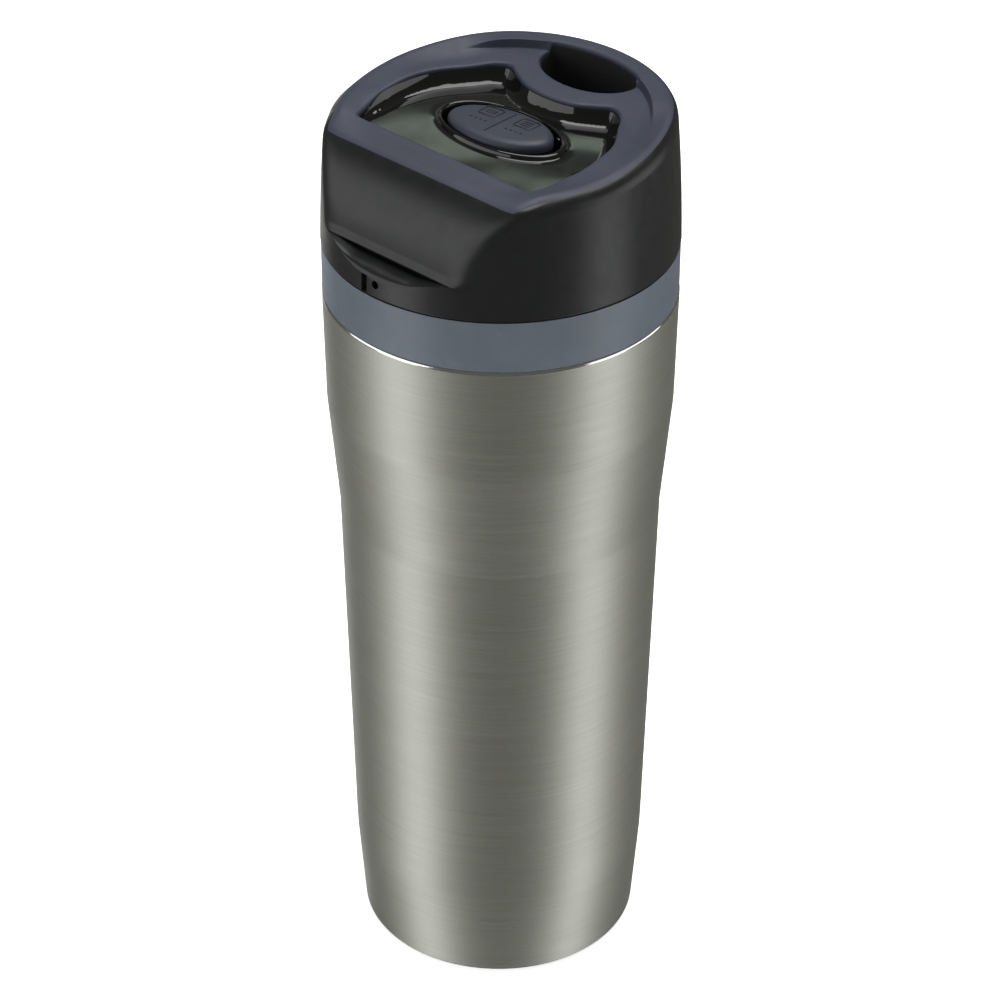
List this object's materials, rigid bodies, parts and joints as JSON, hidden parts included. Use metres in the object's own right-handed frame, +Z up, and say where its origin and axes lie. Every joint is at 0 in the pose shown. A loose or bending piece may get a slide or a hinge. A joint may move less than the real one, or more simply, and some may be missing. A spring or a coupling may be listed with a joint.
{
  "type": "insulated travel mug",
  "caption": "Double-wall steel travel mug with a screwed black lid, scooped front, drink hole and a rocker button that opens the valve.",
  "frame": {"origin": "centre of the base, on the surface the mug stands on", "axes": "+Z up along the mug's axis, +Y towards the drink hole, X along the rocker button"},
  "size_m": [0.075, 0.075, 0.2049],
  "materials": {
    "brushed_shell": "fine brushing around the body, satin",
    "liner_steel": "bright drawn steel",
    "grey_collar": "satin moulded grey",
    "grey_soft": "soft-touch grey",
    "black_matte": "fine matte texture",
    "black_gloss": "polished",
    "core_black": "moulded",
    "button_grey": "satin",
    "clear_silicone": "translucent silicone",
    "black_rubber": "non-slip rubber",
    "pin_steel": "polished steel",
    "stem_white": "moulded acetal",
    "getter_metal": "sintered"
  },
  "bodies": {
    "mug": {"outer_shell": "brushed_shell", "base_plate": "liner_steel", "base_pad": "black_rubber", "inner_liner": "liner_steel", "getter": "getter_metal", "neck_collar": "grey_collar", "collar_seal": "clear_silicone"},
    "gasket": {"lid_gasket": "clear_silicone"},
    "lid": {"lid_shell": "black_matte", "top_trim": "grey_soft", "deck": "black_gloss", "spout_throat": "black_gloss", "lid_core": "core_black", "stem_seal": "clear_silicone", "valve_seat": "core_black", "rocker_pin": "pin_steel"},
    "rocker": {"button_cap": "button_grey", "rocker_arm": "core_black"},
    "valve": {"valve_stem": "stem_white", "stem_head": "stem_white", "valve_disc": "stem_white", "valve_seal": "clear_silicone", "stem_clip": "pin_steel", "valve_spring": "pin_steel"}
  },
  "joints": [
    {"name": "lid_lift", "type": "slide", "parent": "mug", "child": "gasket", "axis": [0, 0, 1], "range_m": [0, 0.024]},
    {"name": "lid_turn", "type": "hinge", "parent": "gasket", "child": "lid", "pos_m": [0, 0, 0.175], "axis": [0, 0, 1], "range_deg": [0, 720]},
    {"name": "rocker_tilt", "type": "hinge", "parent": "lid", "child": "rocker", "pos_m": [0, 0, 0.193], "axis": [0, 1, 0], "range_deg": [0, 6]},
    {"name": "valve_slide", "type": "slide", "parent": "lid", "child": "valve", "axis": [0, 0, -1], "range_m": [0, 0.00089], "deforming": ["valve_spring"]}
  ],
  "couplings": [
    {"joint": "lid_lift", "follows": "lid_turn", "m_per_rad": 0.0019099},
    {"joint": "valve_slide", "follows": "rocker_tilt", "m_per_rad": 0.0085}
  ]
}
